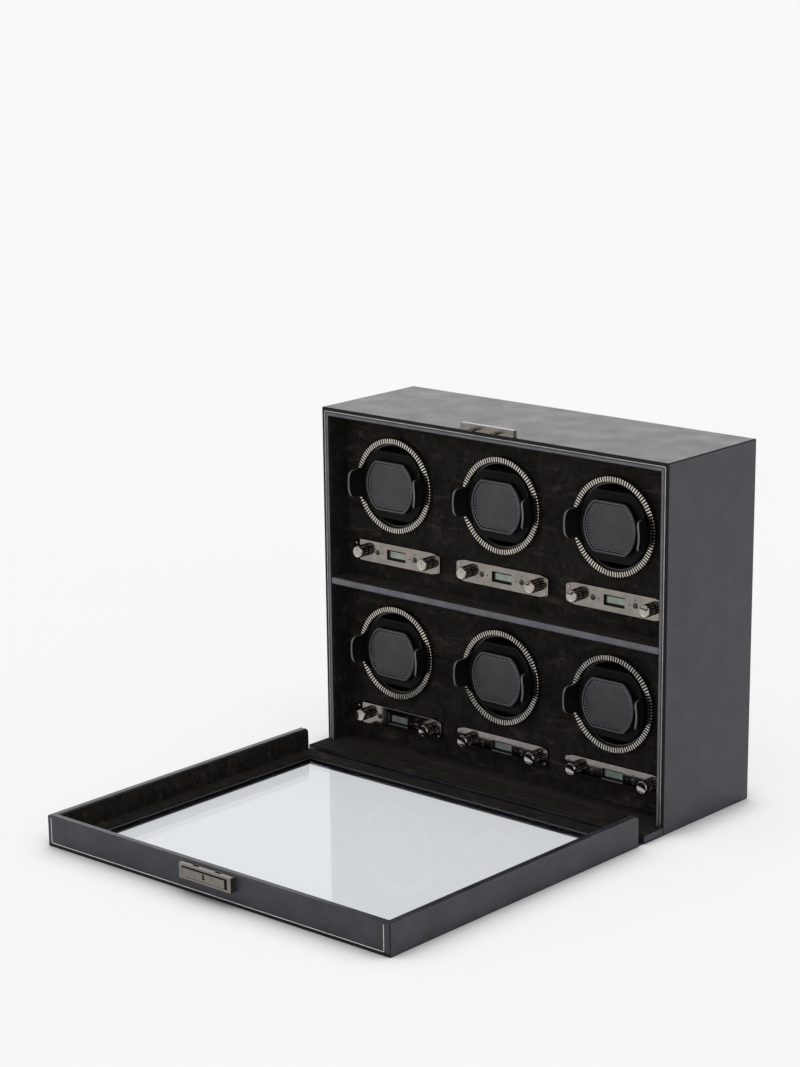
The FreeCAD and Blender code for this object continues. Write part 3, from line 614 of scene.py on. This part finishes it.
def makeFolds(look):
    # soft ribs in the suede of the lip, side by side and parallel to its front edge
    low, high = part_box("base_board")
    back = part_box("carcase")[0].y
    top = high.z + look["liningThick"]
    pitch = (back - low.y - 2 * look["frontGap"]) / look["ribs"]
    work = bmesh.new()
    for number in range(look["ribs"]):
        y = low.y + look["frontGap"] + pitch * (number + 0.5)
        path = [Vector((x, y, top)) for x in (low.x + look["endGap"], high.x - look["endGap"])]
        sweep(work, domedSection(pitch * look["fullness"], look["proud"]), path, upZ)
    addPiece("lipFolds", toMesh("lipFolds", work, 60), ("suede",), "cabinet")


makeFolds(foldLook)

inletLook = {"pin": 1.0 * mm, "pinRoot": 0.9 * mm, "pinTip": 3.5 * mm, "taper": 0.4 * mm, "steps": 20}


def makeInletPin(look):
    low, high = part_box("power_inlet")
    centre = middle("power_inlet")
    root, tip = low.y + look["pinRoot"], high.y - look["pinTip"]
    work = bmesh.new()
    turned(work, [(0, root), (look["pin"], root), (look["pin"], tip - look["taper"]),
                  (look["pin"] * 0.6, tip), (0, tip)], look["steps"], centre=(centre.x, centre.z))
    addPiece("inletPin", toMesh("inletPin", work), ("steel",), "cabinet")


makeInletPin(inletLook)

# the modules: notched rings, plates, displays, knobs and buttons
ringLook = {"teeth": 100, "tooth": 0.46, "wall": 0.06, "depth": 0.8 * mm, "innerDepth": 0.6 * mm,
            "outerDepth": 0.45 * mm, "bevel": 0.45 * mm, "width": 5.6 * mm, "sleeve": 2.6 * mm,
            "notchEnd": 1.2 * mm, "foot": 0.8 * mm}


def ringRows(inner, outer, front, panel, back, look, groove):
    step = look["bevel"]
    dip = look["depth"] if groove else 0
    bite = look["innerDepth"] if groove else 0
    nick = look["outerDepth"] if groove else 0
    return [(inner + bite, back), (inner + bite, front + step + dip), (inner + step + bite, front + dip),
            (outer - step - nick, front + dip), (outer - nick, front + step + dip),
            (outer - nick, panel - look["notchEnd"]), (outer, panel - look["foot"]), (outer, panel),
            (outer - look["sleeve"], panel), (outer - look["sleeve"], back)]


def makeRings(look):
    work = bmesh.new()
    panel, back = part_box("module_panels")[0].y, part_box("module_panels")[1].y
    low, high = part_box("bezel_rings")
    outer = middle("rotor_upper_left").x - low.x
    inner = outer - look["width"]
    sizes = (inner, outer, low.y, panel, back, look)
    tooth, groove = ringRows(*sizes, False), ringRows(*sizes, True)
    for module in moduleNames:
        centre = middle(f"rotor_{module}")
        loops = []
        for number in range(look["teeth"]):
            for part, rows in ((0, tooth), (look["tooth"], tooth), (look["tooth"] + look["wall"], groove),
                               (1 - look["wall"], groove)):
                angle = 2 * math.pi * (number + part) / look["teeth"]
                loops.append([work.verts.new((centre.x + radius * math.cos(angle), y,
                                              centre.z + radius * math.sin(angle))) for radius, y in rows])
        bridge(work, loops, True, lambda number: int(number % 4 > 0))
    addPiece("notchedRings", toMesh("notchedRings", work, 25), ("ring", "groove"), "cabinet",
             ["bezel_rings"])


makeRings(ringLook)
windowReach = {"across": 12.8 * mm, "up": 5.6 * mm}
windowSpots = [(middle(f"rotor_{module}").x, middle(f"turns_knob_{module}").z) for module in moduleNames]


def inWindow(face):
    # the inner walls of the display windows, which lie in shadow, get the dark edge finish as painted shade
    spot = face.calc_center_median()
    across, up = windowReach["across"], windowReach["up"]
    return int(abs(face.normal.y) < 0.3
               and any(abs(spot.x - x) < across and abs(spot.z - z) < up for x, z in windowSpots))


softened("control_plates", "controlPlates", 0.35 * mm, ("plate", "edge"), 3, inWindow)
softened("plate_screws", "plateScrews", 0.25 * mm, ("steel",))

screenLook = {"halfWide": 15 * mm, "halfTall": 6.75 * mm, "bevel": 0.3 * mm, "frame": 3.3 * mm,
              "frameDepth": 0.25 * mm, "dotRadius": 0.85 * mm, "dotProud": 0.25 * mm, "dotSunk": 0.3 * mm,
              "dots": ((-18 * mm, 0), (18 * mm, 0), (25 * mm, 5.6 * mm))}


def makeScreens(look):
    low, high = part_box("displays")
    screens = bmesh.new()
    dots = bmesh.new()
    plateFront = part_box("control_plates")[0].y
    bevel, border = look["bevel"], look["frame"]
    proud, sunk, radius = look["dotProud"], look["dotSunk"], look["dotRadius"]
    for module in moduleNames:
        x = middle(f"rotor_{module}").x
        z = middle(f"turns_knob_{module}").z
        loops = []
        for inset, y in ((0, high.y), (0, low.y + bevel), (bevel, low.y), (border, low.y),
                         (border + bevel, low.y + look["frameDepth"])):
            wide, tall = look["halfWide"] - inset, look["halfTall"] - inset
            loops.append([screens.verts.new((x + a * wide, y, z + b * tall))
                          for a, b in ((-1, -1), (1, -1), (1, 1), (-1, 1))])
        # the display's sides and frame take the dark edge finish; the strip of frame left showing inside
        # the window is painted shade of the recess
        bridge(screens, loops, finish=1)
        closeFace(screens, loops[0], 1)
        closeFace(screens, loops[-1], 0)
        for across, up in look["dots"]:
            turned(dots, [(0, plateFront - proud), (radius * 0.7, plateFront - proud * 0.8),
                          (radius, plateFront), (radius, plateFront + sunk), (0, plateFront + sunk)],
                   14, centre=(x + across, z + up))
    addPiece("screens", toMesh("screens", screens, 20), ("display", "edge"), "cabinet",
             ["displays"])
    addPiece("indicatorDots", toMesh("indicatorDots", dots, 50), ("button",), "cabinet")


makeScreens(screenLook)

knobLook = {"flutes": 16, "fluteDepth": 0.8 * mm, "steps": 160, "darkBelow": 0.2, "stem": 3 * mm,
            "stemLength": 6 * mm, "capStep": 0.5 * mm, "capHeight": 2 * mm, "capDish": 0.35 * mm,
            "line": 0.55 * mm, "lineProud": 0.2 * mm}


def makeKnobs(look):
    low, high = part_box("turns_knob_upper_left")
    grip, stem = (high.x - low.x) / 2, look["stem"]
    cap, dish = grip - look["capStep"], look["capDish"]
    front, gripFront = low.y, low.y + look["capHeight"]
    gripBack = high.y - look["stemLength"]
    work = bmesh.new()
    fluted = [(grip - 0.9 * mm, gripFront - 0.1 * mm), (grip - 0.25 * mm, gripFront),
              (grip, gripFront + 0.3 * mm), (grip, gripBack - 0.3 * mm), (grip - 0.3 * mm, gripBack),
              (stem, gripBack), (stem, high.y), (0, high.y)]

    def flute(row, angle):
        deep = (0, 0.6, 1, 1, 0.6, 0, 0, 0)[row]
        return -look["fluteDepth"] * deep * (0.5 + 0.5 * math.cos(look["flutes"] * angle)) ** 0.6

    turned(work, fluted, look["steps"], 0, shape=flute)
    # the flute valleys take the dark finish: painted shade and painted dark reflection in the fluted grip
    darkInside = grip - look["darkBelow"] * look["fluteDepth"]
    for wall in work.faces:
        spot = wall.calc_center_median()
        if gripFront < spot.y < gripBack and math.hypot(spot.x, spot.z) < darkInside:
            wall.material_index = 3
    turned(work, [(0, front + dish), (cap * 0.72, front + dish * 0.8), (cap * 0.84, front + 0.05 * mm),
                  (cap * 0.92, front), (cap, front + 0.45 * mm), (cap, gripFront + 0.2 * mm),
                  (0, gripFront + 0.2 * mm)], look["steps"] // 2, 1)
    # a raised pointer on the cap, so that a turn shows
    path = [Vector((0, front + dish * 0.9, height)) for height in (cap * 0.25, cap * 0.7)]
    sweep(work, domedSection(look["line"], look["lineProud"]), path, -alongY, finish=2)
    mesh = toMesh("knob", work, 30)
    for module in moduleNames:
        for kind in ("turns", "direction"):
            node = f"{kind}_knob_{module}"
            centre = middle(node)
            addPiece(f"{kind}Knob_{module}", mesh, ("grip", "nickel", "button", "groove"), node,
                     [node], (centre.x, 0, centre.z))


buttonLook = {"dome": 0.35 * mm, "steps": 40, "collarWidth": 0.7 * mm, "collarHeight": 0.8 * mm}


def makeButtons(look):
    low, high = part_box("set_button_upper_left")
    collar = (high.x - low.x) / 2
    radius, dome = collar - look["collarWidth"], look["dome"]
    collarFront = high.y - look["collarHeight"]
    work = bmesh.new()
    turned(work, [(0, low.y), (radius * 0.45, low.y + dome * 0.15), (radius * 0.8, low.y + dome * 0.6),
                  (radius * 0.96, low.y + dome * 1.2), (radius, low.y + dome * 2), (radius, collarFront),
                  (collar, collarFront), (collar, high.y), (0, high.y)], look["steps"])
    for face in work.faces:
        spot = face.calc_center_median()
        face.material_index = int(math.hypot(spot.x, spot.z) > radius)
    mesh = toMesh("button", work, 40)
    for module in moduleNames:
        for kind in ("set", "mode"):
            node = f"{kind}_button_{module}"
            centre = middle(node)
            addPiece(f"{kind}Button_{module}", mesh, ("button", "nickel"), node, [node],
                     (centre.x, 0, centre.z))


makeKnobs(knobLook)
makeButtons(buttonLook)
print("controls ready")

# the cuffs: a black body with two grips, and a stitched leather pad
cuffLook = {
    "radius": 40.4 * mm, "half": 34.5 * mm, "corner": 4 * mm, "front": -51 * mm, "back": -26 * mm,
    "post": 14 * mm, "postBack": -8 * mm, "earTip": -68.9 * mm, "earRoot": -46 * mm, "earFlare": 4.4 * mm,
    "earHalf": 14 * mm, "neckHalf": 21 * mm, "earThick": 2.1 * mm, "tipRadius": 5 * mm, "highlightReach": 9 * mm,
    "neckFrom": 56 * mm, "neckLength": 4 * mm, "earSink": 0.02 * mm,
}
cushionLook = {
    "radius": 31.2 * mm, "half": 25.5 * mm, "corner": 6 * mm, "back": -50.7 * mm, "front": -57 * mm,
    "border": 2.9 * mm, "crown": 0.9 * mm, "stitch": 2.1 * mm, "stitchGap": 0.9 * mm, "thread": 0.3 * mm,
    "fill": 0.85,
}


def inset(look, distance):
    return flatDisc(look["radius"] - distance, look["half"] - distance,
                    max(look["corner"] - distance * 0.55, 0.8 * mm))


def makeCuffBody(look):
    work = bmesh.new()
    front, back = look["front"], look["back"]
    lofted(work, [(inset(look, d * mm), y) for d, y in (
        (1.2, back), (0.35, back - 0.3 * mm), (0, back - 1.1 * mm), (0, front + 1.1 * mm),
        (0.3, front + 0.35 * mm), (1.0, front), (3.2, front), (3.8, front + 0.35 * mm),
        (5.0, front + 0.4 * mm))], lambda row: 0)
    side = look["post"] / 2
    loops = [[work.verts.new((a * (side - trim), y, b * (side - trim)))
              for a, b in ((-1, -1), (1, -1), (1, 1), (-1, 1))]
             for trim, y in ((0, back - 1 * mm), (0, look["postBack"] - 1 * mm),
                             (1 * mm, look["postBack"]))]
    bridge(work, loops)
    closeFace(work, loops[0])
    closeFace(work, loops[-1])
    for sign in (-1, 1):
        makeEar(work, look, sign)
    return toMesh("cuffBody", work, 38)


def makeEar(work, look, sign):
    # a thin curved grip: rows run from its root to its tip, columns across it
    rows, columns = 22, 16
    length, tipRadius = look["earRoot"] - look["earTip"], look["tipRadius"]
    layers = []
    for inward in (0, look["earThick"]):
        layer = []
        for row in range(rows + 1):
            y = look["earRoot"] - length * row / rows
            reach = look["radius"] + look["earFlare"] * row / rows - inward - look["earSink"]
            toTip = y - look["earTip"]
            neck = max(0, min(1, (y + look["neckFrom"]) / look["neckLength"]))
            half = look["earHalf"] + (look["neckHalf"] - look["earHalf"]) * neck * neck * (3 - 2 * neck)
            if toTip < tipRadius:
                half -= tipRadius - math.sqrt(tipRadius ** 2 - (tipRadius - toTip) ** 2)
            spots = []
            for column in range(columns + 1):
                z = half * (2 * column / columns - 1)
                spots.append(work.verts.new((sign * math.sqrt(reach ** 2 - z ** 2), y, z)))
            layer.append(spots)
        layers.append(layer)
    outer, inner = layers
    for row in range(rows):
        for column in range(columns):
            for layer in layers:
                closeFace(work, (layer[row][column], layer[row][column + 1], layer[row + 1][column + 1],
                                 layer[row + 1][column]))
    border = [(row, 0) for row in range(rows)] + [(rows, column) for column in range(columns)]
    border += [(row, columns) for row in range(rows, 0, -1)]
    border += [(0, column) for column in range(columns, 0, -1)]
    for (row, column), (nextRow, nextColumn) in zip(border, border[1:] + border[:1]):
        # faces near the tip take the lighter grip finish: a painted highlight along the tip's edge
        lit = outer[row][column].co.y < look["earTip"] + look["highlightReach"]
        closeFace(work, (outer[row][column], outer[nextRow][nextColumn], inner[nextRow][nextColumn],
                         inner[row][column]), int(lit))


def makePad(look):
    front, back, border = look["front"], look["back"], look["border"]
    # the sides, the border rolled over to the groove, the groove, and then the crowned middle
    sections = [(0.5 * mm, back), (0.05 * mm, back - 0.6 * mm), (0, back - 1.6 * mm),
                (0, front + 1.9 * mm), (0.18 * mm, front + 1.0 * mm), (0.6 * mm, front + 0.35 * mm),
                (1.2 * mm, front + 0.05 * mm),
                (border * 0.6, front), (border * 0.85, front + 0.25 * mm), (border, front + 0.8 * mm),
                (border + 0.25 * mm, front + 1.15 * mm), (border + 1.2 * mm, front + 1.15 * mm),
                (border + 1.6 * mm, front + 0.95 * mm)]
    sideRows, borderRows, grooveRows = 4, 8, 11
    for part in (0.12, 0.25, 0.4, 0.55, 0.7, 0.85, 0.96):
        depth = border + 1.6 * mm + (look["half"] - border - 2.4 * mm) * part
        sections.append((depth, front + 0.95 * mm - look["crown"] * math.sin(part * math.pi / 2)))
    work = bmesh.new()

    # the sides and the groove take the black cuff finish as painted shade, and the border its lighter
    # leather as painted highlight
    def finishOf(row):
        return 2 if row < sideRows or borderRows <= row < grooveRows else int(row < borderRows)

    lofted(work, [(inset(look, d), y) for d, y in sections], finishOf)
    return toMesh("cuffPad", work, 50)


def makeStitching(look):
    work = bmesh.new()
    row = inset(look, look["border"] + 0.75 * mm)
    stitches(work, row, look["front"] + 1.1 * mm, look["stitch"], look["stitchGap"], look["thread"])
    return toMesh("cuffStitching", work, 60)


bodyMesh, padMesh, threadMesh = makeCuffBody(cuffLook), makePad(cushionLook), makeStitching(cushionLook)
for module in moduleNames:
    node = f"cuff_{module}"
    axis = middle(f"rotor_{module}")
    spot = (axis.x, 0, axis.z)
    addPiece(f"cuffBody_{module}", bodyMesh, ("cuff", "earHighlight"), node, [node], spot)
    pad = addPiece(f"cuffPad_{module}", padMesh, ("pad", "border", "cuff"), node,
                   place=spot)
    addPiece(f"cuffThread_{module}", threadMesh, ("thread",), node, place=spot)
print("cuffs ready")

# the lid: frame, pinstripe, glass, lining and lock
lidLook = {
    "edge": 0.8 * mm, "topEdge": 1.6 * mm, "darkBand": 3.1 * mm, "stripe": 3.7 * mm,
    "stripeWidth": 0.85 * mm, "stripeProud": 0.2 * mm, "stripeEndGap": 0.5 * mm,
    "leftInset": 4.8 * mm, "rightInset": 7.4 * mm, "cornerRadius": 1.5 * mm,
}


def makeLid(look):
    low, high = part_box("lid_frame")
    work = fromNode("lid_frame")
    sliceAt(work, (0, 0, look["darkBand"]), upZ)
    topEdges = {edge for edge in work.edges if min(v.co.z for v in edge.verts) > high.z - 0.1 * mm}
    roundEdges(work, look["topEdge"], 4, -1, lambda edge: edge in topEdges)
    roundEdges(work, look["edge"], 3, 1)
    for face in work.faces:
        spot = face.calc_center_median()
        if spot.y < low.y + 0.01 * mm and spot.z < look["darkBand"]:
            face.material_index = 1
    evenShading(addPiece("lidFrame", toMesh("lidFrame", work), ("leather", "edge"), "lid",
                         ["lid_frame"]))
    left, right = low.x + look["leftInset"], high.x - look["rightInset"]
    top, bottom = high.z - look["topEdge"] - look["stripeEndGap"], look["stripe"]
    corners = [Vector((x, low.y, z))
               for x, z in ((left, top), (left, bottom), (right, bottom), (right, top))]
    stripe = bmesh.new()
    sweep(stripe, domedSection(look["stripeWidth"], look["stripeProud"]),
          roundedCorners(corners, look["cornerRadius"]), -alongY)
    addPiece("lidStripe", toMesh("lidStripe", stripe, 60), ("stripe",), "lid")


makeLid(lidLook)
softened("glass_bead", "glassBead", 1.1 * mm, ("leather",), 3)
softened("lid_lining", "lidLining", 0.3 * mm, ("suede",))
softened("hinge_strip", "hingeStrip", 0.3 * mm, ("leather",))
softened("lid_glass", "glassPane", 0.25 * mm, ("glass",))
lockLow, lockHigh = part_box("lock_case")
lockSkin, plateDepth = 0.45 * mm, 1 * mm


def insideLock(face):
    # the case's inside and the edges of its window and slots, which lie in shadow, get the dark edge finish
    # as painted shade
    spot = face.calc_center_median()
    depth = min(spot.x - lockLow.x, lockHigh.x - spot.x, spot.z - lockLow.z, lockHigh.z - spot.z,
                spot.y - lockLow.y)
    return int(depth > lockSkin)


softened("lock_case", "lockCase", 0.4 * mm, ("brushed", "edge"), 3, insideLock)
# the slide's flange behind its front plate takes the dark edge finish as painted shade in the gap
softened("lock_slide", "lockSlide", 0.25 * mm, ("brushed", "edge"), 2,
         lambda face: int(face.calc_center_median().y > lockLow.y + plateDepth))
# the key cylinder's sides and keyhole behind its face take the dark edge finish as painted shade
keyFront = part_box("key_cylinder")[0].y
softened("key_cylinder", "keyCylinder", 0.55 * mm, ("brushed", "edge"), 3,
         lambda face: int(face.calc_center_median().y > keyFront + 0.05 * mm))
print("lid and lock ready")

# CAD nodes that keep their own shape
keptNodes = {"module_housings": "housing", "gear_motors": "casing", "control_boards": "circuit"}
keptNodes.update({f"rotor_{module}": "drum" for module in moduleNames})
for node, look in keptNodes.items():
    for slot in frame["nodes"][node].material_slots:
        slot.material = finishes[look]

# floor, light and camera
stageLook = {
    "floorRadius": 60, "floorGap": 0.02 * mm,
    "floor": (0.32, 0.32, 0.32, 1), "floorPatch": (0.31, 0.31, 0.31, 1),
    # contact and contactReach shape the painted contact shadow on the floor
    "contact": (0.3, 1.0), "contactReach": 45 * mm, "paneEdge": 6 * mm, "glow": 0.6,
    "sky": 1.64, "zenith": (0.26, 0.26, 0.26, 1),
    "sun": 1.2, "sunAngle": 60, "sunFrom": (0.2, -0.1, 1.6),
}


def makeStage(look):
    work = bmesh.new()
    bmesh.ops.create_circle(work, cap_ends=True, segments=96, radius=look["floorRadius"])
    mesh = toMesh("paleFloor", work)
    floor = bpy.data.objects.new("paleFloor", mesh)
    bpy.context.scene.collection.objects.link(floor)

    def wires(place):
        clouds = place.noise(0.5, 2)
        # the floor's glow fades where things stand close by: a painted contact shadow
        openness = place.node("AmbientOcclusion", None, {"Distance": look["contactReach"]}, "AO")
        # under the lid's pane the floor keeps its full glow, painted light as in the open
        paneLow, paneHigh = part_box("lid_glass")
        across, along = place.part("X"), place.part("Y") - (paneLow.y + paneHigh.y) / 2
        outside = across.maths("ABSOLUTE", across).ramp(paneHigh.x - look["paneEdge"], paneHigh.x)
        halfPane = (paneHigh.y - paneLow.y) / 2
        outside = outside.larger(along.maths("ABSOLUTE", along).ramp(halfPane - look["paneEdge"], halfPane))
        glow = openness.ramp(*look["contact"]).larger(1 - outside)
        return {"Base_Color": clouds.mix(look["floor"], look["floorPatch"]),
                "Roughness": 0.9 + clouds * 0.05,
                "Emission_Color": glow.mix((0, 0, 0, 1), (1, 1, 1, 1))}

    mesh.materials.append(newFinish("paleFloorPaintedShadow", wires, Specular_IOR_Level=0.0,
                                    Emission_Strength=look["glow"]))
    floor.location.z = -look["floorGap"]
    world = bpy.data.worlds.new("softSky")
    bpy.context.scene.world = world
    world.use_nodes = True
    sky = world.node_tree.nodes["Background"]
    height = Wire(world.node_tree).node("TexCoord", output="Generated").part("Z")
    tone = height.ramp(0.2, 0.75).mix((1, 1, 1, 1), look["zenith"])
    world.node_tree.links.new(tone.socket, sky.inputs["Color"])
    sky.inputs["Strength"].default_value = look["sky"]
    sun = bpy.data.lights.new("softKey", "SUN")
    sun.energy = look["sun"]
    sun.angle = math.radians(look["sunAngle"])
    lamp = bpy.data.objects.new("softKey", sun)
    lamp.rotation_euler = Vector(look["sunFrom"]).to_track_quat("Z", "Y").to_euler()
    bpy.context.scene.collection.objects.link(lamp)
    bpy.context.scene.view_settings.view_transform = "Standard"


cameraLook = {"place": (1.6591, -2.0694, 0.9018), "azimuth": 41.569, "elevation": 16.673, "roll": -0.702,
              "lens": 93.26, "shiftUp": 0.128}


def makeCamera(look):
    turn, rise, roll = (math.radians(look[key]) for key in ("azimuth", "elevation", "roll"))
    back = Vector((math.sin(turn) * math.cos(rise), -math.cos(turn) * math.cos(rise), math.sin(rise)))
    right = (-back).cross(upZ).normalized()
    up = right.cross(-back)
    tilted = math.cos(roll) * right + math.sin(roll) * up
    upright = -math.sin(roll) * right + math.cos(roll) * up
    lens = bpy.data.cameras.new("viewCamera")
    lens.lens = look["lens"]
    lens.sensor_width = 36
    lens.shift_y = look["shiftUp"]
    lens.clip_end = 200
    camera = bpy.data.objects.new("viewCamera", lens)
    bpy.context.scene.collection.objects.link(camera)
    turnTo = Matrix((tilted, upright, back)).transposed().to_4x4()
    camera.matrix_world = Matrix.Translation(look["place"]) @ turnTo
    bpy.context.scene.camera = camera


makeStage(stageLook)
makeCamera(cameraLook)
print("stage ready")
